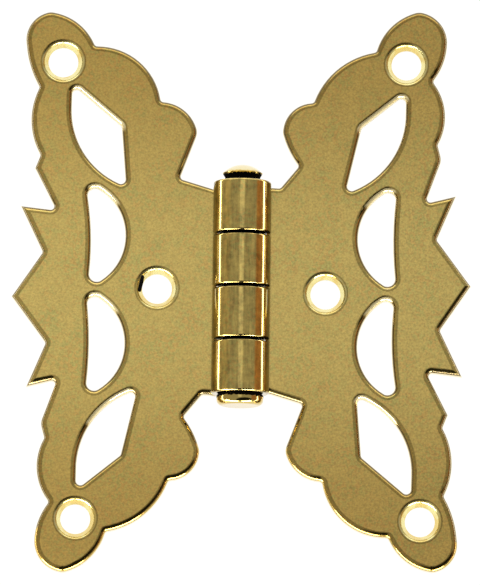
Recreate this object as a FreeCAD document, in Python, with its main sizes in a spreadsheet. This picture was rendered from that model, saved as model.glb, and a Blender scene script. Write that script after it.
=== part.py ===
# Butterfly hinge, lying open on its back. Millimetres.
# The Y axis runs along the pin, X across the two wings, and the backs of both leaves lie at Z = 0.
# Each wing is one stamped sheet whose tabs roll round the pin, so the hinge has three pieces:
# two equal leaves, one turned half round against the other, and the headed pin.

import FreeCAD, Part
import math
import os
import Sketcher

Vector = FreeCAD.Vector

# The driving sizes: alias, value, what it is.
SIZES = [
    ("sheet_thickness", 1.5, "thickness of the stamped sheet"),
    ("pin_diameter", 4.76, "shank of the pin, three sixteenths of an inch"),
    ("pin_clearance", 0.05, "radial play of the pin in the knuckles"),
    ("barrel_length", 29.0, "four knuckles end to end"),
    ("knuckle_gap", 0.3, "gap between neighbouring knuckles"),
    ("notch_clearance", 0.2, "gap between a notch and the knuckle that turns in it"),
    ("seam_gap", 0.1, "gap between the rolled end and the front of its own leaf"),
    ("knuckle_round", 0.3, "rounded rim at both ends of a knuckle"),
    ("hole_diameter", 4.05, "screw hole"),
    ("countersink_width", 0.7, "by how much the countersink is wider than the hole all round"),
    ("countersink_angle", 66, "included angle of the countersink, in degrees"),
    ("mouth_share", 1.0, "rounding of the countersink's mouth, as a share of its width"),
    ("upper_hole_x", 22.03, "upper screw hole, out from the pin"),
    ("upper_hole_y", 31.33, "upper screw hole, along the pin"),
    ("middle_hole_x", 11.4, "middle screw hole, out from the pin"),
    ("middle_hole_y", -0.25, "middle screw hole, along the pin"),
    ("lower_hole_x", 24.51, "lower screw hole, out from the pin"),
    ("lower_hole_y", -31.17, "lower screw hole, along the pin"),
    ("nook_round", 0.45, "rounding of the nooks of the outline"),
    ("blunt_round", 2.0, "rounding of the blunt points of the outline"),
    ("lens_round", 0.6, "rounding of the corners of the long piercings"),
    ("crescent_round", 1.0, "rounding of the corners of the crescent piercings"),
    ("die_roll", 0.8, "soft front edge that the punch leaves"),
    ("head_diameter", 6.35, "button head under the barrel"),
    ("head_height", 1.6, "height of the button head"),
    ("head_neck_round", 0.4, "rounding of the head towards the barrel"),
    ("head_face_round", 0.8, "rounding of the head towards its face"),
    ("rim_diameter", 5.45, "flared rim above the barrel"),
    ("neck_height", 0.6, "straight neck between the barrel and the flare"),
    ("flare_height", 0.55, "flare from the neck out to the rim"),
    ("dome_height", 1.2, "dome above the rim"),
    ("slope_rise", 0.7, "end of the wing's sloped lower edge above the end of the barrel"),
]

# Places from which the outline is measured: the pin axis halfway along the barrel,
# the two ends of the barrel and the two outer screw holes.
ANCHORS = {
    "pin": ("0", "0"),
    "upper_end": ("0", "Sizes.barrel_length / 2"),
    "lower_end": ("0", "-Sizes.barrel_length / 2"),
    "upper_hole": ("Sizes.upper_hole_x", "Sizes.upper_hole_y"),
    "lower_hole": ("Sizes.lower_hole_x", "Sizes.lower_hole_y"),
}

# The wing's outline, clockwise from the upper end of the barrel. Each corner has a name, the
# place that it is measured from, its distances out and along, and the turn in degrees of the
# arc that leads to it from the corner before: 0 is a straight edge, minus is clockwise.
WING = [
    ("shoulder", "upper_end", 5.1, -0.3, 0),
    ("upper_nook", "upper_end", 7.6, 2.75, 0),
    ("upper_cheek", "pin", 5.35, 21.79, -24),
    ("upper_cheek_cusp", "pin", 9.5, 25.98, -90),
    ("upper_brow_cusp", "upper_hole", -4.13, 1.74, -62),
    ("upper_crest", "upper_hole", 1.57, 7.34, -62),
    ("upper_lobe", "upper_hole", 5.52, 3.2, -83),
    ("upper_lobe_cusp", "upper_hole", 3.62, -2.25, -38),
    ("upper_flank", "pin", 26.4, 20.38, -68),
    ("upper_spur", "pin", 26.95, 18.31, 0),
    ("upper_notch", "pin", 24.78, 12.36, 0),
    ("upper_tooth", "pin", 28.95, 13.42, 0),
    ("upper_valley", "pin", 26.4, 7.37, 0),
    ("wing_tip", "pin", 31.08, 1.06, 0),
    ("lower_valley", "pin", 26.95, -5.04, 0),
    ("lower_tooth", "pin", 30.0, -11.35, 0),
    ("lower_notch", "pin", 25.18, -10.8, 0),
    ("lower_spur", "pin", 28.15, -16.55, 0),
    ("lower_flank", "pin", 27.45, -18.36, 0),
    ("lower_lobe_cusp", "lower_hole", 3.19, 3.5, -57),
    ("lower_lobe", "lower_hole", 5.04, -2.35, -26),
    ("lower_crest", "lower_hole", 1.79, -6.89, -92),
    ("lower_brow_cusp", "lower_hole", -4.31, -2.25, -62),
    ("lower_cheek_cusp", "pin", 11.2, -25.88, -85),
    ("lower_cheek", "pin", 6.15, -21.59, -80),
    ("lower_nook", "lower_end", 8.5, -0.85, 0),
]

# The four piercings of the wing, each clockwise and written like the outline,
# with the size that rounds their corners.
PIERCINGS = {
    "upper_lens": ("lens_round", [
        ("inner", "upper_hole", -5.98, -8.76, 0),
        ("top", "upper_hole", -0.03, -3.95, 0),
        ("outer", "upper_hole", -0.06, -6.59, 0),
        ("foot", "upper_hole", -8.06, -17.69, -74),
    ]),
    "upper_crescent": ("crescent_round", [
        ("top", "pin", 20.95, 14.43, -146),
        ("foot", "pin", 20.98, 0.3, 16),
    ]),
    "lower_crescent": ("crescent_round", [
        ("top", "pin", 20.8, -0.4, -146),
        ("foot", "pin", 21.25, -14.53, 20),
    ]),
    "lower_lens": ("lens_round", [
        ("inner", "lower_hole", -8.01, 8.7, 0),
        ("heel", "lower_hole", -8.69, 16.92, 0),
        ("outer", "lower_hole", -1.26, 6.23, -73),
        ("foot", "lower_hole", -1.31, 3.1, 0),
    ]),
}

BORE_RADIUS = "(Sizes.pin_diameter / 2 + Sizes.pin_clearance)"
BARREL_RADIUS = f"({BORE_RADIUS} + Sizes.sheet_thickness)"
PITCH = "(Sizes.barrel_length / 4)"
HALF_GAP = "(Sizes.knuckle_gap / 2)"
# The axis of the pin stands this far above the backs of the leaves.
AXIS_HEIGHT = BARREL_RADIUS
# A notch clears the neighbour's knuckle where that is widest within the sheet: at its front.
NOTCH_DEPTH = (f"sqrt(({BARREL_RADIUS} + Sizes.notch_clearance)^2"
               f" - ({BARREL_RADIUS} - Sizes.sheet_thickness)^2)")
# The rolled end stops where its outer corner is one seam gap above the front of the leaf.
SEAM_DROP = f"({BARREL_RADIUS} - Sizes.sheet_thickness - Sizes.seam_gap)"
SEAM_ANGLE = f"asin({SEAM_DROP} / {BARREL_RADIUS})"
COUNTERSINK_DIAMETER = "(Sizes.hole_diameter + 2 * Sizes.countersink_width)"
# Neighbouring faces that meet at a flatter angle than this are one smooth edge.
SMOOTH_ANGLE = 4
# A point of the outline where the edge turns less than this is blunt.
BLUNT_ANGLE = 40
# Two places closer together than this are the same place.
NEAR = 0.001
# A cut that takes away fewer cubic millimetres than this has missed the sheet.
LEAST_CUT = 1


def fill_sheet(document):
    """The sheet: every driving size, then the outline's distances and turns, one to a row."""
    rows = list(SIZES)
    rows += outline_rows("", WING)
    for piercing, (_, corners) in PIERCINGS.items():
        rows += outline_rows(piercing + "_", corners)
    sheet = document.addObject("Spreadsheet::Sheet", "Sizes")
    for row, (alias, value, note) in enumerate(rows, start=1):
        sheet.set(f"A{row}", note)
        sheet.set(f"B{row}", str(value))
        sheet.setAlias(f"B{row}", alias)
    document.recompute()


def outline_rows(prefix, corners):
    """The sheet's rows for the corners of one closed line."""
    rows = []
    for name, anchor, out, along, turn in corners:
        place = anchor.replace("_", " ")
        rows.append((f"{prefix}{name}_out", out, f"out from the {place}"))
        rows.append((f"{prefix}{name}_along", along, f"along from the {place}"))
        if turn:
            rows.append((f"{prefix}{name}_turn", turn, "turn of the arc that leads there"))
    return rows


def outline_corners(prefix, corners):
    """The corners of one closed line as expressions of x, y and turn."""
    places = []
    for name, anchor, _, _, turn in corners:
        anchor_x, anchor_y = ANCHORS[anchor]
        x = f"{anchor_x} + Sizes.{prefix}{name}_out"
        y = f"{anchor_y} + Sizes.{prefix}{name}_along"
        places.append((x, y, f"Sizes.{prefix}{name}_turn" if turn else "0"))
    return places


def plane_of(body, role):
    """One of the body's own origin planes."""
    return next(feature for feature in body.Origin.OriginFeatures if feature.Role == role)


def new_sketch(body, name, role, offset=None):
    """An empty sketch on an origin plane, moved along its normal by an expression."""
    sketch = body.newObject("Sketcher::SketchObject", name)
    sketch.AttachmentSupport = (plane_of(body, role), [""])
    sketch.MapMode = "FlatFace"
    if offset:
        sketch.setExpression("AttachmentOffset.Base.z", offset)
    return sketch


def value_of(sketch, expression):
    """The number that an expression has with the sheet as it stands."""
    return float(sketch.evalExpression(expression))


def hold(sketch, constraint, expression):
    """A dimension of the sketch that follows an expression."""
    number = sketch.addConstraint(constraint)
    name = f"held_{number}"
    sketch.renameConstraint(number, name)
    sketch.setExpression(f"Constraints.{name}", expression)


def trace(sketch, corners):
    """A closed line through corners of (x, y, turn), each written as an expression.

    The turn is that of the arc that leads to the corner, and 0 is a straight edge. Each corner
    is held by its two distances, and each arc by its radius: half of the chord over the
    sine of half of the turn. Half of the chord times the tangent of a quarter of the turn
    is how far the arc stands off the chord.
    """
    places = [Vector(value_of(sketch, x), value_of(sketch, y), 0) for x, y, _ in corners]
    edges = []
    radii = []
    for index, (x, y, turn_text) in enumerate(corners):
        start, end = places[index - 1], places[index]
        turn = value_of(sketch, turn_text)
        if turn == 0:
            edges.append((sketch.addGeometry(Part.LineSegment(start, end), False), 1, 2))
            continue
        chord = end - start
        to_the_right = Vector(chord.y, -chord.x, 0).normalize()
        middle = (start + end) / 2 + to_the_right * (chord.Length / 2 * math.tan(math.radians(turn / 4)))
        if turn > 0:
            edges.append((sketch.addGeometry(Part.Arc(start, middle, end), False), 1, 2))
        else:
            edges.append((sketch.addGeometry(Part.Arc(end, middle, start), False), 2, 1))
        before_x, before_y, _ = corners[index - 1]
        chord_text = f"sqrt((({x}) - ({before_x}))^2 + (({y}) - ({before_y}))^2)"
        radii.append((edges[-1][0], f"{chord_text} / (2 * sin(abs({turn_text}) / 2))"))
    for index, (x, y, _) in enumerate(corners):
        edge, _, end = edges[index]
        following, start, _ = edges[(index + 1) % len(edges)]
        place = places[index]
        sketch.addConstraint(Sketcher.Constraint("Coincident", edge, end, following, start))
        hold(sketch, Sketcher.Constraint("DistanceX", -1, 1, edge, end, place.x), x)
        hold(sketch, Sketcher.Constraint("DistanceY", -1, 1, edge, end, place.y), y)
    for edge, radius in radii:
        hold(sketch, Sketcher.Constraint("Radius", edge, value_of(sketch, radius)), radius)


def add_pad(body, name, sketch, length):
    """The sketch raised into a plate."""
    pad = body.newObject("PartDesign::Pad", name)
    pad.Profile = sketch
    pad.setExpression("Length", length)
    body.Document.recompute()
    return pad


def add_round(body, name, base, edges, radius):
    """The named edges of the last feature rounded."""
    rounding = body.newObject("PartDesign::Fillet", name)
    rounding.Base = (base, edges)
    rounding.setExpression("Radius", radius)
    body.Document.recompute()
    return rounding


def upright_corners(shape, inside):
    """Edges square to the sheet where two faces meet at an angle, within a region of it.

    Each is given as its name, the angle by which the outline turns there, and whether it is
    a nook, where each of the two faces rises in front of the other.
    """
    corners = []
    for number, edge in enumerate(shape.Edges, start=1):
        middle = edge.valueAt((edge.FirstParameter + edge.LastParameter) / 2)
        is_upright = abs(edge.tangentAt(edge.FirstParameter).z) > 1 - NEAR
        if not is_upright or not inside(middle):
            continue
        faces = shape.ancestorsOfType(edge, Part.Face)
        normals = [face.normalAt(*face.Surface.parameter(middle)) for face in faces]
        angle = math.degrees(normals[0].getAngle(normals[1]))
        is_nook = normals[1].dot(faces[0].CenterOfMass - middle) > 0
        if SMOOTH_ANGLE < angle < 180 - SMOOTH_ANGLE:
            corners.append((f"Edge{number}", angle, is_nook))
    return corners


def front_rim(shape, thickness, inside):
    """Edges of the front face of the sheet, within a region of it."""
    names = []
    for number, edge in enumerate(shape.Edges, start=1):
        middle = edge.valueAt((edge.FirstParameter + edge.LastParameter) / 2)
        ends = [vertex.Point.z for vertex in edge.Vertexes]
        if min(ends + [middle.z]) > thickness - NEAR and inside(middle):
            names.append(f"Edge{number}")
    return names


def add_blank(body):
    """The stamped sheet: the outline with its two tabs, padded to the sheet's thickness."""
    sketch = new_sketch(body, "Outline", "XY_Plane")
    comb = [
        (NOTCH_DEPTH, f"{ANCHORS['lower_end'][1]} + Sizes.slope_rise"),
        (NOTCH_DEPTH, f"-{PITCH} + {HALF_GAP}"),
        ("0", f"-{PITCH} + {HALF_GAP}"),
        ("0", f"-{HALF_GAP}"),
        (NOTCH_DEPTH, f"-{HALF_GAP}"),
        (NOTCH_DEPTH, f"{PITCH} + {HALF_GAP}"),
        ("0", f"{PITCH} + {HALF_GAP}"),
        ANCHORS["upper_end"],
    ]
    trace(sketch, outline_corners("", WING) + [(x, y, "0") for x, y in comb])
    return add_pad(body, "Blank", sketch, "Sizes.sheet_thickness")


def add_piercings(body):
    """The four openings punched through the wing, with their corners rounded."""
    for name, (rounding, corners) in PIERCINGS.items():
        sketch = new_sketch(body, name + "_line", "XY_Plane")
        trace(sketch, outline_corners(name + "_", corners))
        before = body.Shape.Volume
        pocket = body.newObject("PartDesign::Pocket", name)
        pocket.Profile = sketch
        pocket.Type = "ThroughAll"
        pocket.Reversed = True
        body.Document.recompute()
        if pocket.Shape.Volume > before - LEAST_CUT:
            raise RuntimeError(f"{name} cuts nothing")
        region = sketch.Shape.BoundBox
        region.enlarge(NEAR)
        corners = upright_corners(pocket.Shape, lambda p: region.isInside(Vector(p.x, p.y, 0)))
        edges = [edge for edge, _, _ in corners]
        add_round(body, name + "_corners", pocket, edges, f"Sizes.{rounding}")


def add_knuckle(body, name, start, length):
    """A tab rolled round the pin, from one place along the pin over a length.

    The section of the tab stands at the foot of the roll, below the pin, with its outer
    corners rounded. Turned about the pin axis it goes up the far side, over the top and
    down again to the front of its own leaf.
    """
    sketch = new_sketch(body, name + "_section", "YZ_Plane")
    sketch.setExpression("AttachmentOffset.Base.y", AXIS_HEIGHT)
    end = f"({start}) + ({length})"
    outer_corner = f"-{BARREL_RADIUS} + Sizes.knuckle_round"
    trace(sketch, [
        (start, f"-{BORE_RADIUS}", "0"),
        (end, f"-{BORE_RADIUS}", "0"),
        (end, outer_corner, "0"),
        (f"{end} - Sizes.knuckle_round", f"-{BARREL_RADIUS}", "-90"),
        (f"{start} + Sizes.knuckle_round", f"-{BARREL_RADIUS}", "0"),
        (start, outer_corner, "-90"),
    ])
    roll = body.newObject("PartDesign::Revolution", name)
    roll.Profile = sketch
    roll.ReferenceAxis = (sketch, ["H_Axis"])
    roll.setExpression("Angle", f"270 deg + {SEAM_ANGLE}")
    body.Document.recompute()


def add_screw_holes(body):
    """Three screw holes, countersunk from the front."""
    sketch = new_sketch(body, "Screw_places", "XY_Plane", "Sizes.sheet_thickness")
    for place in ("upper", "middle", "lower"):
        x, y = f"Sizes.{place}_hole_x", f"Sizes.{place}_hole_y"
        centre = Vector(value_of(sketch, x), value_of(sketch, y), 0)
        radius = value_of(sketch, "Sizes.hole_diameter / 2")
        circle = sketch.addGeometry(Part.Circle(centre, Vector(0, 0, 1), radius), False)
        hold(sketch, Sketcher.Constraint("Radius", circle, radius), "Sizes.hole_diameter / 2")
        hold(sketch, Sketcher.Constraint("DistanceX", -1, 1, circle, 3, centre.x), x)
        hold(sketch, Sketcher.Constraint("DistanceY", -1, 1, circle, 3, centre.y), y)
    body.Document.recompute()
    before = body.Shape.Volume
    hole = body.newObject("PartDesign::Hole", "Screw_holes")
    hole.Profile = sketch
    hole.DepthType = "ThroughAll"
    hole.HoleCutType = "Countersink"
    hole.HoleCutCustomValues = True
    hole.setExpression("Diameter", "Sizes.hole_diameter")
    hole.setExpression("HoleCutDiameter", COUNTERSINK_DIAMETER)
    hole.setExpression("HoleCutCountersinkAngle", "Sizes.countersink_angle")
    body.Document.recompute()
    if hole.Shape.Volume > before - LEAST_CUT:
        raise RuntimeError("the screw holes cut nothing")
    front = value_of(body, "Sizes.sheet_thickness")
    mouth = value_of(body, COUNTERSINK_DIAMETER) * math.pi
    mouths = [f"Edge{number}" for number, edge in enumerate(hole.Shape.Edges, start=1)
              if abs(edge.Length - mouth) < NEAR and abs(edge.CenterOfMass.z - front) < NEAR]
    add_round(body, "Hole_mouths", hole, mouths, "Sizes.countersink_width * Sizes.mouth_share")


def make_leaf(document, label):
    """The wing on the right with its two knuckles, from the blank to the finished leaf."""
    body = document.addObject("PartDesign::Body", label)
    body.Label = label
    blank = add_blank(body)
    thickness = value_of(body, "Sizes.sheet_thickness")
    notch = value_of(body, NOTCH_DEPTH) + NEAR
    corners = upright_corners(blank.Shape, lambda p: p.x > notch)
    nooks = [edge for edge, _, is_nook in corners if is_nook]
    wing = add_round(body, "Nooks", blank, nooks, "Sizes.nook_round")
    corners = upright_corners(wing.Shape, lambda p: p.x > notch)
    blunt = [edge for edge, angle, _ in corners if angle < BLUNT_ANGLE]
    add_round(body, "Blunt_points", wing, blunt, "Sizes.blunt_round")
    add_piercings(body)
    barrel_end = value_of(body, ANCHORS["upper_end"][1]) - NEAR
    rim = front_rim(body.Tip.Shape, thickness, lambda p: p.x > notch or p.y > barrel_end)
    add_round(body, "Die_roll", body.Tip, rim, "Sizes.die_roll")
    for name, start, length in (
            ("Upper_knuckle", f"{PITCH} + {HALF_GAP}", f"{PITCH} - {HALF_GAP}"),
            ("Lower_knuckle", f"-{PITCH} + {HALF_GAP}", f"{PITCH} - 2 * {HALF_GAP}")):
        add_knuckle(body, name, start, length)
    add_screw_holes(body)
    return body


def turn_leaf(document, leaf, label):
    """The wing on the left: the same leaf turned half round about the middle of the hinge."""
    body = document.addObject("PartDesign::Body", label)
    body.Label = label
    copy = document.addObject("PartDesign::FeatureBase", "Same_leaf")
    copy.BaseFeature = leaf
    body.Group = [copy]
    body.Tip = copy
    body.Placement = FreeCAD.Placement(Vector(0, 0, 0), FreeCAD.Rotation(Vector(0, 0, 1), 180))
    document.recompute()
    return body


def make_pin(document):
    """The pin, turned round the Y axis: button head below, neck, flared rim and dome above."""
    body = document.addObject("PartDesign::Body", "pin")
    body.Label = "pin"
    sketch = new_sketch(body, "Half_section", "XY_Plane", AXIS_HEIGHT)
    shank = "Sizes.pin_diameter / 2"
    head = "Sizes.head_diameter / 2"
    rim = "Sizes.rim_diameter / 2"
    seat = "-Sizes.barrel_length / 2"
    top = "Sizes.barrel_length / 2"
    face = f"{seat} - Sizes.head_height"
    neck = f"{top} + Sizes.neck_height"
    flare = f"{neck} + Sizes.flare_height"
    dome_turn = "2 * atan(2 * Sizes.dome_height / Sizes.rim_diameter)"
    trace(sketch, [
        ("0", face, "0"),
        ("0", f"{flare} + Sizes.dome_height", "0"),
        (rim, flare, f"-({dome_turn})"),
        (shank, neck, "0"),
        (shank, seat, "0"),
        (f"{head} - Sizes.head_neck_round", seat, "0"),
        (head, f"{seat} - Sizes.head_neck_round", "-90"),
        (head, f"{face} + Sizes.head_face_round", "0"),
        (f"{head} - Sizes.head_face_round", face, "-90"),
    ])
    turning = body.newObject("PartDesign::Revolution", "Turned_pin")
    turning.Profile = sketch
    turning.ReferenceAxis = (sketch, ["V_Axis"])
    turning.Angle = 360
    document.recompute()
    return body


def confirm(document, bodies):
    """Stop if any object failed, or a piece is not one sound solid."""
    for item in document.Objects:
        if "Invalid" in item.State or "Error" in item.State:
            raise RuntimeError(f"{item.Label} failed: {item.State}")
    for body in bodies:
        shape = body.Shape
        if shape.isNull() or not shape.isValid() or len(shape.Solids) != 1:
            raise RuntimeError(f"{body.Label} is not one sound solid")


def main():
    document = FreeCAD.newDocument("butterfly_hinge")
    fill_sheet(document)
    right_leaf = make_leaf(document, "right_leaf")
    left_leaf = turn_leaf(document, right_leaf, "left_leaf")
    bodies = [right_leaf, left_leaf, make_pin(document)]
    document.recompute()
    confirm(document, bodies)
    os.makedirs("parts", exist_ok=True)
    for body in bodies:
        body.Shape.exportStep(f"parts/{body.Label}.step")
        box = body.Shape.BoundBox
        print(f"{body.Label}: {body.Shape.Volume:.1f} mm3, "
              f"x {box.XMin:.2f} {box.XMax:.2f}, y {box.YMin:.2f} {box.YMax:.2f}, "
              f"z {box.ZMin:.2f} {box.ZMax:.2f}")


main()
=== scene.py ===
# %% [markdown]
# A brass butterfly hinge.
# The hinge is two stamped leaves whose tabs are rolled round a headed pin. Its form comes
# finished from the construction model, so this lesson is about light and metal: where the
# camera stands, what a polished surface sees around it, and how a finish is mixed from
# small sums. The model is loaded first, as a fixed frame that nothing here moves.

# %% Load the hinge
import math

import bpy
from mathutils import Matrix, Vector


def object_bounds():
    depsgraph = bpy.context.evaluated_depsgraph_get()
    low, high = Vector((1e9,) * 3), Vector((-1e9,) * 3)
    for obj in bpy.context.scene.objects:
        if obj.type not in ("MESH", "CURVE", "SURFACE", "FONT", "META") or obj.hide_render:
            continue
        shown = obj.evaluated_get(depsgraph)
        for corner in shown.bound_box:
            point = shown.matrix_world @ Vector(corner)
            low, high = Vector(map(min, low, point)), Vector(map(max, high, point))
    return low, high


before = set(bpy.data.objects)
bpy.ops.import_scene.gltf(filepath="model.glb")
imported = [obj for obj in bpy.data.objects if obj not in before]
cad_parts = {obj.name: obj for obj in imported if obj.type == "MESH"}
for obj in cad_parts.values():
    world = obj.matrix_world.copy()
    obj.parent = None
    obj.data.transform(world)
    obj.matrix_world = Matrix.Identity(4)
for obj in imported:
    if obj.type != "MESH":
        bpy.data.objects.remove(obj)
cad_low, cad_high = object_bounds()
hinge_centre = (cad_low + cad_high) / 2


def in_millimetres(lengths):
    """Lengths in metres as round numbers for a print."""
    return [round(length * 1000, 2) for length in lengths]


print("pieces:", sorted(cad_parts))
print("size in millimetres:", in_millimetres(cad_high - cad_low))

# %% [markdown]
# The camera looks down on the open hinge from far away through a long lens, so the two
# leaves look equally large. It stands a little towards the button head of the pin, which
# is why the walls of the piercings show along their far edges. The picture's scale fixes
# the lens: the height of the frame at the hinge is the number of pixels times the size of
# one. A small roll leans the pin to the right, and the aim is moved by the few pixels
# that the hinge lies off the middle of the picture.

# %% Camera
FRAME_WIDTH, FRAME_HEIGHT = 480, 585
PIXEL = 0.0001354
CENTRE_PIXEL = (241.2, 292.4)
CAMERA_DISTANCE = 2.0
CAMERA_TILT = math.radians(8.7)
CAMERA_ROLL = math.radians(0.72)


def towards(azimuth, elevation):
    """Unit vector from the hinge: azimuth 0 is the side of the button head, 90 is +X."""
    turn, rise = math.radians(azimuth), math.radians(elevation)
    return Vector((math.sin(turn) * math.cos(rise),
                   -math.cos(turn) * math.cos(rise), math.sin(rise)))


def make_camera():
    """A camera on a line from the hinge, with its upper edge turned by the roll."""
    camera = bpy.data.objects.new("Camera", bpy.data.cameras.new("Camera"))
    bpy.context.scene.collection.objects.link(camera)
    back = Vector((0, -math.sin(CAMERA_TILT), math.cos(CAMERA_TILT)))
    upper_edge = Vector((-math.sin(CAMERA_ROLL), math.cos(CAMERA_ROLL), 0))
    right = upper_edge.cross(back).normalized()
    up = back.cross(right)
    off_middle = Vector((CENTRE_PIXEL[0] - FRAME_WIDTH / 2,
                         FRAME_HEIGHT / 2 - CENTRE_PIXEL[1])) * PIXEL
    aim = Vector((hinge_centre.x, hinge_centre.y, 0)) - right * off_middle.x - up * off_middle.y
    axes = Matrix((right, up, back)).transposed()
    camera.matrix_world = Matrix.Translation(aim + back * CAMERA_DISTANCE) @ axes.to_4x4()
    camera.data.lens = camera.data.sensor_width * CAMERA_DISTANCE / (FRAME_HEIGHT * PIXEL)
    bpy.context.scene.camera = camera
    return camera


camera = make_camera()
print("lens in millimetres:", round(camera.data.lens))

# %% [markdown]
# Polished metal has hardly any colour of its own to show: it shows the room. Two softboxes
# stand low on the near side, with a dark gap between them. They draw the bright lines on
# the near edges of the leaves, at the top of each screw hole and on the rims of the
# knuckles. They are low because the flats would mirror anything taller in a view from
# behind. A wide, weaker softbox behind the hinge makes the far edges glow. The two white
# lines along the barrel are panels that lie flat on either side, just out of the picture.
# Each is an area lamp whose power is found from how bright its surface looks: brightness
# times pi times area. The camera doesn't see such a lamp, but the metal mirrors it.

# %% Lamps
PANEL_HEIGHT = 0.0002


def area_lamp(name, wide, high, brightness):
    """A rectangle of light in metres, which still has to be put in its place."""
    lamp = bpy.data.lights.new(name, "AREA")
    lamp.shape = "RECTANGLE"
    lamp.size, lamp.size_y = wide, high
    lamp.energy = brightness * math.pi * wide * high
    light = bpy.data.objects.new(name, lamp)
    bpy.context.scene.collection.objects.link(light)
    print(f"{name}: {wide:.2f} by {high:.2f} m, {lamp.energy:.2f} W")
    return light


def softbox(name, azimuth, elevation, distance, wide, high, brightness):
    """A rectangle of light that faces the hinge and covers the two angles, in degrees."""
    wide_there, high_there = (2 * distance * math.tan(math.radians(angle / 2))
                              for angle in (wide, high))
    box = area_lamp(name, wide_there, high_there, brightness)
    box.location = towards(azimuth, elevation) * distance
    box.rotation_euler = (-box.location).to_track_quat("-Z", "Y").to_euler()


def side_panel(name, middle, wide, long, brightness):
    """A rectangle of light that lies flat beside the hinge and faces up, along the pin."""
    panel = area_lamp(name, wide, long, brightness)
    panel.location = (middle, 0, PANEL_HEIGHT)
    panel.rotation_euler = (math.pi, 0, 0)


softbox("near_left", azimuth=-31, elevation=7, distance=0.8, wide=52, high=12, brightness=18)
softbox("near_right", azimuth=22, elevation=7, distance=0.8, wide=34, high=12, brightness=18)
softbox("far", azimuth=180, elevation=20, distance=0.9, wide=80, high=26, brightness=1)
side_panel("side_left", middle=-0.060, wide=0.044, long=0.12, brightness=6)
side_panel("side_right", middle=0.060, wide=0.044, long=0.12, brightness=6)

# %% [markdown]
# Shader nodes are easier to read as sums. Value wraps one output of a node, and its plus,
# minus and times each add a Math node, so the reverse of a mask can be written as
# 1 - mask. Finish holds a node tree and has the one method by which every node is made:
# its kind, its settings, and a number or a link for each of its sockets. The other methods
# are short names for nodes that come up often. Most masks rise from 0 to 1 between two
# limits, and the pairs of limits below are named after the border that they draw.

# %% Shader sums


class Value:
    """One output of a node that can be used in a sum like a number."""

    def __init__(self, finish, socket):
        self.finish = finish
        self.socket = socket

    def __add__(self, other):
        return self.finish.maths("ADD", self, other)

    def __mul__(self, other):
        return self.finish.maths("MULTIPLY", self, other)

    def __sub__(self, other):
        return self.finish.maths("SUBTRACT", self, other)

    def __rsub__(self, other):
        return self.finish.maths("SUBTRACT", other, self)

    __radd__ = __add__
    __rmul__ = __mul__


class Finish:
    """The node tree of a material or of the world."""

    def __init__(self, owner):
        owner.use_nodes = True
        self.owner = owner
        self.tree = owner.node_tree
        self.tree.nodes.clear()

    def node(self, kind, settings=None, inputs=None, output=None):
        """Adds a node and gives one of its outputs, the first if none is named."""
        made = self.tree.nodes.new(kind)
        for name, value in (settings or {}).items():
            setattr(made, name, value)
        sockets = {socket.identifier: socket for socket in made.inputs}
        for name, value in (inputs or {}).items():
            if isinstance(value, Value):
                self.tree.links.new(value.socket, sockets[name])
            else:
                sockets[name].default_value = value
        given = {socket.identifier: socket for socket in made.outputs}
        if not given:
            return None
        return Value(self, given[output] if output else made.outputs[0])

    def maths(self, operation, first, second=0.0):
        """A Math node; those that take one number leave the second alone."""
        return self.node("ShaderNodeMath", {"operation": operation},
                         {"Value": first, "Value_001": second})

    def parts(self, vector):
        """The three parts of a vector, along X, Y and Z."""
        return [self.node("ShaderNodeSeparateXYZ", {}, {"Vector": vector}, axis)
                for axis in "XYZ"]

    def between(self, value, low, high):
        """0 up to low, 1 from high, and a smooth rise between them."""
        return self.node("ShaderNodeMapRange", {"interpolation_type": "SMOOTHSTEP"},
                         {"Value": value, "From Min": low, "From Max": high})

    def mixed(self, share, first, second, blend="MIX"):
        """Colour that goes from the first to the second as share goes from 0 to 1."""
        return self.node("ShaderNodeMix", {"data_type": "RGBA", "blend_type": blend},
                         {"Factor_Float": share, "A_Color": first, "B_Color": second},
                         "Result_Color")

    def dimmed(self, colour, by):
        """A colour times another."""
        return self.mixed(1.0, colour, by, "MULTIPLY")

    def noise(self, place, scale, detail=2.0, roughness=0.5):
        """Cloudy noise round 0.5, with this many lumps to the metre."""
        return self.node("ShaderNodeTexNoise", {}, {"Vector": place, "Scale": scale,
                                                    "Detail": detail, "Roughness": roughness})


def rgb(red, green, blue):
    """Colour of a socket from three linear shares."""
    return (red, green, blue, 1)


print("a Value takes part in sums by:", [name for name in vars(Value) if name != "__init__"
                                         and callable(getattr(Value, name))])

# %% [markdown]
# The room is what the metal mirrors, and on this hinge it makes most of the picture. The
# flat of the leaves sees one grey panel, a little behind straight overhead, because the
# camera stands a little before it. Round the panel the ceiling is dimmer. Low down the left
# wall is olive and the right one reddish brown, which colours the rolled edges and the
# right side of the barrel. A black patch in front, to the right, draws the dark bands on
# the lower edges. It stops well above the horizon, or the flats would go black in a view
# from behind. How near a direction lies to the middle of a patch is the cosine of the
# angle between the two, a dot product.

# %% The room
CEILING = rgb(0.36, 0.355, 0.34)
LEFT_WALL = rgb(0.40, 0.36, 0.28)
LEFT_LIMITS = (-0.6, -0.9)
RIGHT_WALL = rgb(0.36, 0.19, 0.10)
RIGHT_LIMITS = (0.80, 0.90)
FAR_WALL = rgb(0.50, 0.49, 0.46)
FAR_LIMITS = (0.4, 0.8)
OVERHEAD = rgb(0.70, 0.70, 0.70)
OVERHEAD_MIDDLE = towards(180, 81)
OVERHEAD_LIMITS = (0.980, 0.997)
SHADE = rgb(0.01, 0.01, 0.01)
SHADE_MIDDLE = towards(30, 42)
SHADE_LIMITS = (0.76, 0.82)
SHADE_FOOT_LIMITS = (0.34, 0.44)


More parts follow.
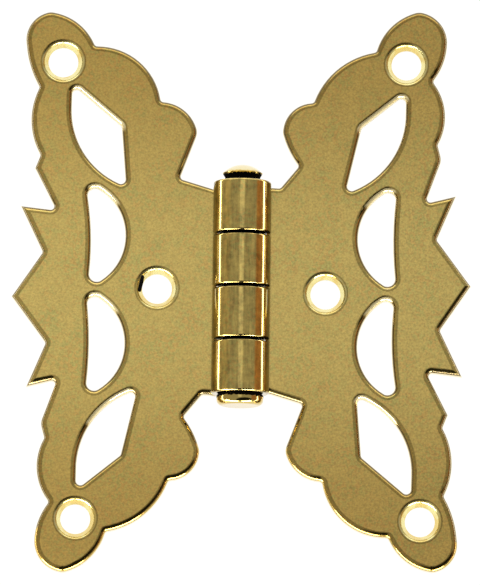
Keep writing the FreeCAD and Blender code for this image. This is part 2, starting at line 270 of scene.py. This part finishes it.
def make_room():
    """A world whose colour depends only on the direction that is looked in."""
    world = bpy.data.worlds.new("Room")
    bpy.context.scene.world = world
    room = Finish(world)
    direction = room.node("ShaderNodeTexCoord")
    across, along, upward = room.parts(direction)

    def nearness(middle):
        return room.node("ShaderNodeVectorMath", {"operation": "DOT_PRODUCT"},
                         {"Vector": direction, "Vector_001": middle}, "Value")

    in_shade = (room.between(nearness(SHADE_MIDDLE), *SHADE_LIMITS)
                * room.between(upward, *SHADE_FOOT_LIMITS))
    patches = ((room.between(across, *LEFT_LIMITS), LEFT_WALL),
               (room.between(across, *RIGHT_LIMITS), RIGHT_WALL),
               (room.between(along, *FAR_LIMITS), FAR_WALL),
               (room.between(nearness(OVERHEAD_MIDDLE), *OVERHEAD_LIMITS), OVERHEAD),
               (in_shade, SHADE))
    shown = CEILING
    for share, colour in patches:
        shown = room.mixed(share, shown, colour)
    background = room.node("ShaderNodeBackground", {}, {"Color": shown, "Strength": 1.0})
    room.node("ShaderNodeOutputWorld", {}, {"Surface": background})
    print(f"{world.name}: ceiling and {len(patches)} patches")


make_room()

# %% [markdown]
# The floor is a plain pale board that reaches past the edges of every view. A quarter of
# its white is paint, which takes the soft shadow of the hinge. The rest is a glow that only
# the camera, mirrors and glass see, so the board stays white in the picture and in the
# metal, and lights the hinge no more than dull paint would. It lies lower than the hinge
# by more than the width of a leaf, because one leaf swings down past the flat.

# %% Floor
FLOOR_HALF = 12.0
FLOOR_HEIGHT = -0.036
FLOOR_PAINT = rgb(0.25, 0.25, 0.25)
FLOOR_GLOW = 0.90


def make_floor():
    """One large square, part paint and part glow."""
    mesh = bpy.data.meshes.new("Floor")
    corners = [(across * FLOOR_HALF, along * FLOOR_HALF, FLOOR_HEIGHT)
               for across, along in ((-1, -1), (1, -1), (1, 1), (-1, 1))]
    mesh.from_pydata(corners, [], [(0, 1, 2, 3)])
    floor = bpy.data.objects.new("Floor", mesh)
    bpy.context.scene.collection.objects.link(floor)
    finish = Finish(bpy.data.materials.new("Pale_board"))
    sight = ("Is Camera Ray", "Is Glossy Ray", "Is Transmission Ray")
    seen = sum(finish.node("ShaderNodeLightPath", {}, {}, ray) for ray in sight)
    paint = finish.node("ShaderNodeBsdfDiffuse", {}, {"Color": FLOOR_PAINT})
    glow = finish.node("ShaderNodeEmission", {}, {"Strength": seen * FLOOR_GLOW})
    both = finish.node("ShaderNodeAddShader", {}, {"Shader": paint, "Shader_001": glow})
    finish.node("ShaderNodeOutputMaterial", {}, {"Surface": both})
    mesh.materials.append(finish.owner)
    print("floor:", 2 * FLOOR_HALF, "m wide, at", FLOOR_HEIGHT, "m")


make_floor()

# %% [markdown]
# One sheet here shows several colours, some its own and some painted light and shade, and
# they could be separate materials if the mesh had a slot for each. Here the mesh is left as
# it is, so masks made from the place of a point tell the parts of a leaf apart. Most of them
# need only its height above the back. The rim is rounded over: at its foot stands the wall
# that the punch sheared, painted pale, partly as bare sheared brass and partly as a painted
# highlight. Above that the rim is painted dark brown, a painted shade of the dark room that
# the rounded rim mirrors. Only the skirt, the lowest part of each leaf, is left without
# this painted shade. Two more borders keep these colours off the back of the sheet and out
# of the notches beside the barrel.
#
# The screw holes are painted pale too, a painted reflection of the bright floor in their
# countersinks, and the distance from the nearest of their centres finds them. The leaves
# are one shape turned half round, so one leaf's holes, turned with it, serve for both. The
# upper edges of the openings get a painted highlight, a pale band that is half matt, and
# each is found as the points near a line from one of its ends to the other. A short line of
# the same kind draws a black mark in the ring of the left middle hole.

# %% Parts of a leaf
SCREW_PLACES = ((0.02203, 0.03133), (0.01140, -0.00025), (0.02451, -0.03117))
HOLE_LIMITS = (0.00275, 0.00300)
BACK_LIMITS = (0.00001, 0.00003)
NOTCH_LIMITS = (0.0036, 0.0042)
SHEARED_LIMITS = (0.00100, 0.00108)
# Heights where the painted shade of the rim begins and ends.
RIM_PAINTED_SHADE_LIMITS = (0.00129, 0.00137)
# Height up to which the highlight on the upper edges is painted.
PAINTED_HIGHLIGHT_LIMITS = (0.00143, 0.00148)
BARREL_LIMITS = (0.0019, 0.0028)
SKIRT_SLOPE = 0.55
SKIRT_LIMITS = (-0.0180, -0.0175)
# The upper edges of the openings, where a highlight is painted.
UPPER_EDGES = (
    ((0.0222, 0.0274), (0.0160, 0.0228), 0.0013),
    ((0.0203, 0.0145), (0.0169, 0.0125), 0.0012),
    ((0.0198, -0.0004), (0.0167, -0.0023), 0.0012),
    ((0.0155, -0.0140), (0.0203, -0.0177), 0.0012),
)
UPPER_CORE = 0.4
# A short black mark in the ring of the left middle hole.
BLACK_MARK_LINE = ((-0.01340, 0.00175), (-0.01378, 0.00000))
BLACK_MARK_LIMITS = (0.00021, 0.00030)


class LeafPlace:
    """Where on a leaf a point lies, as masks from 0 to 1."""

    def __init__(self, finish):
        self.finish = finish
        self.point = finish.node("ShaderNodeTexCoord", {}, {}, "Object")
        self.across, self.along, self.height = finish.parts(self.point)
        side = finish.maths("SIGN", self.across)
        out, up = self.across * side, self.along * side
        self.hole = 1.0 - finish.between(self.off_screws(out, up), *HOLE_LIMITS)
        # The black mark in the ring of the left middle hole.
        off_black_mark = self.off_line(self.across, *BLACK_MARK_LINE)
        self.blotch = 1.0 - finish.between(off_black_mark, *BLACK_MARK_LIMITS)
        self.barrel = finish.between(self.height, *BARREL_LIMITS)

        on_edge = finish.between(self.height, *BACK_LIMITS) * finish.between(out, *NOTCH_LIMITS)
        on_upper = self.near_upper_edges(out)
        off_skirt = finish.between(self.along + out * SKIRT_SLOPE, *SKIRT_LIMITS)
        # Pale sheared wall, partly bare brass and partly painted highlight.
        self.sheared_pale_and_highlight = on_edge * self.below(SHEARED_LIMITS)
        # Painted highlight along the upper edges of the openings.
        self.bright = on_edge * on_upper * self.below(PAINTED_HIGHLIGHT_LIMITS)
        # Painted shade on the rounded rim, left off the skirt.
        self.rim_painted_shade = on_edge * self.below(RIM_PAINTED_SHADE_LIMITS) * (1.0 - on_upper) * off_skirt

    def below(self, limits):
        """1 under the lower of two heights and 0 over the upper one."""
        return 1.0 - self.finish.between(self.height, *limits)

    def off_screws(self, out, up):
        """How far a point is from the axis of the nearest screw hole."""
        flat = self.finish.node("ShaderNodeCombineXYZ", {}, {"X": out, "Y": up})
        nearest = 1.0
        for place in SCREW_PLACES:
            distance = self.finish.node("ShaderNodeVectorMath", {"operation": "DISTANCE"},
                                        {"Vector": flat, "Vector_001": (*place, 0)}, "Value")
            nearest = self.finish.maths("MINIMUM", nearest, distance)
        return nearest

    def near_upper_edges(self, out):
        """1 along the upper edges of the openings, fading out within the reach of each."""
        nearest = 0.0
        for start, end, reach in UPPER_EDGES:
            off_edge = self.off_line(out, start, end)
            near = 1.0 - self.finish.between(off_edge, reach * UPPER_CORE, reach)
            nearest = self.finish.maths("MAXIMUM", near, nearest)
        return nearest

    def off_line(self, across, start, end):
        """How far a point is from the straight line between two places."""
        (start_x, start_y), (end_x, end_y) = start, end
        run_x, run_y = end_x - start_x, end_y - start_y
        square = run_x ** 2 + run_y ** 2
        step = ((across - start_x) * run_x + (self.along - start_y) * run_y) * (1 / square)
        share = self.finish.node("ShaderNodeClamp", {}, {"Value": step})
        gap_x = across - (share * run_x + start_x)
        gap_y = self.along - (share * run_y + start_y)
        return self.finish.maths("POWER", gap_x * gap_x + gap_y * gap_y, 0.5)


for place in SCREW_PLACES:
    print("screw hole of a leaf, in millimetres:", in_millimetres(place))

# %% [markdown]
# All the metal here is brass under clear lacquer. A metal's base colour is what it gives
# back of white light, and the shader's coat is the lacquer. Where shade is painted, and at
# the black marks, the surface turns black, rough and dry. Shade is painted black where two
# knuckles meet: the middle of a joint is where the length along the pin is a whole number
# of knuckles, which a zigzag between 0 and half a knuckle finds.

# %% Brass, painted shade and black marks
BRASS = rgb(0.71, 0.52, 0.14)
LACQUER = 0.6
LACQUER_ROUGHNESS = 0.05
# Black for the painted shade in the joints and for the black marks.
PAINTED_SHADE_AND_MARK_BLACK = rgb(0.012, 0.010, 0.008)
KNUCKLE_PITCH = 0.00725
KNUCKLES = 4
# Painted shade in the joints between knuckles.
JOINT_PAINTED_SHADE_SHIFT = 0.00015
JOINT_PAINTED_SHADE_LIMITS = (0.000126, 0.00018)
LAST_GAP_LIMITS = (0.0085, 0.0090)


def grey(finish, share):
    """Colour with the same share of red, green and blue."""
    return finish.node("ShaderNodeCombineColor", {},
                       {"Red": share, "Green": share, "Blue": share})


def brass_output(finish, colour, roughness, normal, painted_shade_and_marks, metalness=1.0):
    """Metal of that colour under clear lacquer, turned black, rough and dry for painted shade
    and black marks.
    """
    metal = finish.node("ShaderNodeBsdfPrincipled", {},
                        {"Base Color": finish.mixed(painted_shade_and_marks, colour, PAINTED_SHADE_AND_MARK_BLACK),
                         "Roughness": roughness + (1.0 - roughness) * painted_shade_and_marks,
                         "Normal": normal,
                         "Metallic": metalness,
                         "Coat Weight": LACQUER * (1.0 - painted_shade_and_marks),
                         "Coat Roughness": LACQUER_ROUGHNESS})
    finish.node("ShaderNodeOutputMaterial", {}, {"Surface": metal})


def joint_painted_shade(finish, leaf):
    """Painted shade: 1 where two knuckles meet, but not at the two ends of the barrel."""
    whole = leaf.along + (JOINT_PAINTED_SHADE_SHIFT + KNUCKLES * KNUCKLE_PITCH)
    off_joint = finish.maths("PINGPONG", whole, KNUCKLE_PITCH / 2)
    from_middle = finish.maths("ABSOLUTE", leaf.along)
    inner = 1.0 - finish.between(from_middle, *LAST_GAP_LIMITS)
    return (1.0 - finish.between(off_joint, *JOINT_PAINTED_SHADE_LIMITS)) * inner * leaf.barrel


print("joints between knuckles:", KNUCKLES - 1)

# %% [markdown]
# Rolled brass is never one even colour. The flat has a grain as fine as the lines of a
# polishing cloth, in two shades, one redder and one greener. Painted shade makes it darker
# towards the lobes, and a painted sheen makes it a touch lighter on the left. The barrel
# has streaks along the pin, where the tabs were drawn as they were rolled: noise that is
# squeezed to a fraction of its scale along one axis turns into streaks along that axis.
# Its flanks are darker. Each noise is round 0.5, so 0.5 is taken off before it is made
# stronger and added to 1, and the sum then dims or brightens the colour.

# %% Grain, streaks and painted light
REDDER = rgb(0.77, 0.50, 0.135)
GREENER = rgb(0.64, 0.54, 0.15)
HUE_LIMITS = (0.40, 0.62)
STAIN_LIMITS = (0.3, 0.7)
# Painted shade towards the lobes.
LOBE_PAINTED_SHADE = rgb(0.75, 0.67, 0.53)
LOBE_PAINTED_SHADE_LIMITS = (0.004, 0.034)
GRAIN_DEPTH = 1.2
FLAT_STAIN_DEPTH = 0.25
# Painted sheen: the flat is lighter on the left.
PAINTED_SHEEN_TILT = 2.6
STREAK_STRETCH = (1, 0.12, 1)
STREAK_DEPTH = 1.6
SMEAR_DEPTH = 1.3
BARREL_STAIN_DEPTH = 0.7
FLANK_DEPTH = 0.4
FLANK_LIMITS = (0.0057, 0.0061)


def worn_colour_with_painted_light(finish, leaf, grain):
    """Colour of the flat and of the barrel, with its painted shade and sheen, before what is
    special to the edges.
    """
    hues = finish.noise(leaf.point, scale=2300, detail=2)
    stains = finish.noise(leaf.point, scale=420, detail=3)
    smears = finish.noise(leaf.point, scale=1400, detail=4, roughness=0.7)
    drawn = finish.node("ShaderNodeMapping", {},
                        {"Vector": leaf.point, "Scale": STREAK_STRETCH})
    streaks = finish.noise(drawn, scale=1700, detail=4, roughness=0.65)

    colour = finish.mixed(finish.between(hues, *HUE_LIMITS), GREENER, REDDER)
    colour = finish.mixed(finish.between(stains, *STAIN_LIMITS), colour, BRASS)
    from_middle = finish.maths("ABSOLUTE", leaf.along)
    # Painted shade towards the lobes.
    lobe_painted_shade = finish.between(from_middle, *LOBE_PAINTED_SHADE_LIMITS) * (1.0 - leaf.barrel)
    colour = finish.mixed(lobe_painted_shade, colour, finish.dimmed(colour, LOBE_PAINTED_SHADE))

    # The flat with its grain, stains and a painted sheen that is lighter on the left.
    on_flat = (1.0 + (grain - 0.5) * GRAIN_DEPTH + (stains - 0.5) * FLAT_STAIN_DEPTH
               - leaf.across * PAINTED_SHEEN_TILT)
    flank = 1.0 - finish.between(leaf.height, *FLANK_LIMITS)
    on_barrel = (1.0 + (streaks - 0.5) * STREAK_DEPTH + (smears - 0.5) * SMEAR_DEPTH
                 + (stains - 0.5) * BARREL_STAIN_DEPTH - flank * FLANK_DEPTH)
    return finish.dimmed(colour, grey(finish, on_flat + (on_barrel - on_flat) * leaf.barrel))


print("the barrel's streaks are", round(STREAK_STRETCH[0] / STREAK_STRETCH[1], 1),
      "times as long as wide")

# %% [markdown]
# Now the sheet brass is put together from the flat inwards: the painted shade of the rim,
# the pale sheared walls with their partly painted highlight, the painted highlights of the
# upper edges and the painted reflections in the screw holes are laid over the worn colour,
# with its painted shade and sheen, one after another. The holes are less smooth than the
# flat. Part of the light from them and from the upper edges is plain scatter, so there the
# metalness is less than 1. A slow ripple and a trace of the grain go into the bump, which
# bends the reflections a little, as on real sheet.

# %% Sheet brass
# Painted shade of the rounded rim, dark brown.
RIM_PAINTED_SHADE = rgb(0.20, 0.145, 0.055)
# Pale sheared wall, partly bare brass and partly painted highlight.
SHEARED_PALE_AND_HIGHLIGHT = rgb(0.92, 0.80, 0.48)
# Painted highlight along the upper edges of the openings.
UPPER_EDGE_PAINTED_HIGHLIGHT = rgb(0.97, 0.82, 0.44)
# Painted reflection of the bright floor in the screw holes, in two shades.
HOLE_PAINTED_PALE = rgb(0.99, 0.88, 0.38)
HOLE_PAINTED_GOLD = rgb(0.90, 0.68, 0.20)
HOLE_PATCH_LIMITS = (0.42, 0.58)
HOLE_TOP_LIMITS = (0.00147, 0.00149)
HOLE_METALNESS = 0.85
EDGE_METALNESS = 0.5
FLAT_ROUGHNESS = 0.16
GRAIN_ROUGHNESS = 0.08
BARREL_ROUGHNESS = 0.09
HOLE_ROUGHNESS = 0.22
RIPPLE_SHARE, GRAIN_SHARE = 0.5, 0.03
SHEET_BUMP = {"Strength": 0.25, "Distance": 0.00002}


def make_sheet_brass():
    """The finish of both leaves."""
    finish = Finish(bpy.data.materials.new("Sheet_brass"))
    leaf = LeafPlace(finish)
    grain = finish.noise(leaf.point, scale=3800, detail=3, roughness=0.6)
    colour = worn_colour_with_painted_light(finish, leaf, grain)
    # Painted shade on the rounded rim.
    colour = finish.mixed(leaf.rim_painted_shade, colour, RIM_PAINTED_SHADE)
    # Pale sheared wall, partly bare brass and partly painted highlight.
    colour = finish.mixed(leaf.sheared_pale_and_highlight, colour, SHEARED_PALE_AND_HIGHLIGHT)
    # Painted highlight along the upper edges of the openings.
    colour = finish.mixed(leaf.bright, colour, UPPER_EDGE_PAINTED_HIGHLIGHT)
    # Painted reflection in the screw holes.
    in_hole = leaf.hole * leaf.below(HOLE_TOP_LIMITS)
    patches = finish.noise(leaf.point, scale=520, detail=3)
    hole_painted_reflection = finish.mixed(finish.between(patches, *HOLE_PATCH_LIMITS), HOLE_PAINTED_PALE, HOLE_PAINTED_GOLD)
    colour = finish.mixed(in_hole, colour, hole_painted_reflection)

    roughness = (FLAT_ROUGHNESS + (grain - 0.5) * GRAIN_ROUGHNESS
                 + (BARREL_ROUGHNESS - FLAT_ROUGHNESS) * leaf.barrel
                 + (HOLE_ROUGHNESS - FLAT_ROUGHNESS) * leaf.hole)
    ripple = finish.noise(leaf.point, scale=350, detail=2)
    bumps = ripple * RIPPLE_SHARE + grain * GRAIN_SHARE
    normal = finish.node("ShaderNodeBump", {}, {"Height": bumps, **SHEET_BUMP})
    scatter = finish.maths("MAXIMUM", in_hole * (1.0 - HOLE_METALNESS),
                           leaf.bright * (1.0 - EDGE_METALNESS))
    # Black where shade is painted in the joints and at the black mark.
    brass_output(finish, colour, roughness, normal, joint_painted_shade(finish, leaf) + leaf.blotch,
                 1.0 - scatter)
    return finish.owner


sheet_brass = make_sheet_brass()
for name in ("left_leaf", "right_leaf"):
    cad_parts[name].data.materials[0] = sheet_brass
print("leaves in", sheet_brass.name)

# %% [markdown]
# The pin is turned from rod. Its brass is the same, but the cutting tool left rings round
# its axis, so here the streaks are stretched the other way: across the pin and round it,
# and short along it. The dome at its upper end is painted paler, a painted highlight of the
# bright side of the room. The pin is black from the seat of the button head to the neck
# under the dome, though only its two ends show outside the barrel. Noise makes its borders
# uneven.

# %% Turned brass
# Painted highlight on the dome.
DOME_PAINTED_HIGHLIGHT = rgb(0.90, 0.79, 0.46)
RING_STRETCH = (0.05, 1, 0.05)
RING_DEPTH = 0.3
UNEVENNESS = 0.0006
DOME_LIMITS = (0.01575, 0.01585)
NECK_LIMITS = (0.01545, 0.01555)
SEAT_LIMITS = (-0.01505, -0.01495)
PIN_ROUGHNESS = 0.1
RING_ROUGHNESS = 0.05
PIN_BUMP = {"Strength": 0.2, "Distance": 0.00001}


def make_turned_brass():
    """The finish of the pin."""
    finish = Finish(bpy.data.materials.new("Turned_brass"))
    point = finish.node("ShaderNodeTexCoord", {}, {}, "Object")
    stretched = finish.node("ShaderNodeMapping", {}, {"Vector": point, "Scale": RING_STRETCH})
    rings = finish.noise(stretched, scale=3000, detail=2)
    # Noise that makes the borders of the black band uneven.
    blotch = finish.noise(point, scale=2200, detail=2)
    along = finish.parts(point)[1] + (blotch - 0.5) * UNEVENNESS
    colour = finish.dimmed(BRASS, grey(finish, 1.0 + (rings - 0.5) * RING_DEPTH))
    # Painted highlight: the dome is paler.
    colour = finish.mixed(finish.between(along, *DOME_LIMITS), colour, DOME_PAINTED_HIGHLIGHT)
    # Black from the seat of the button head to the neck under the dome.
    below_dome = 1.0 - finish.between(along, *NECK_LIMITS)
    above_seat = finish.between(along, *SEAT_LIMITS)
    normal = finish.node("ShaderNodeBump", {}, {"Height": rings, **PIN_BUMP})
    brass_output(finish, colour, PIN_ROUGHNESS + (rings - 0.5) * RING_ROUGHNESS, normal,
                 below_dome * above_seat)
    return finish.owner


turned_brass = make_turned_brass()
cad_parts["pin"].data.materials[0] = turned_brass
print("pin in", turned_brass.name)

# %% [markdown]
# Last come the picture's settings.

# %% Picture settings
bpy.context.scene.view_settings.view_transform = "Standard"
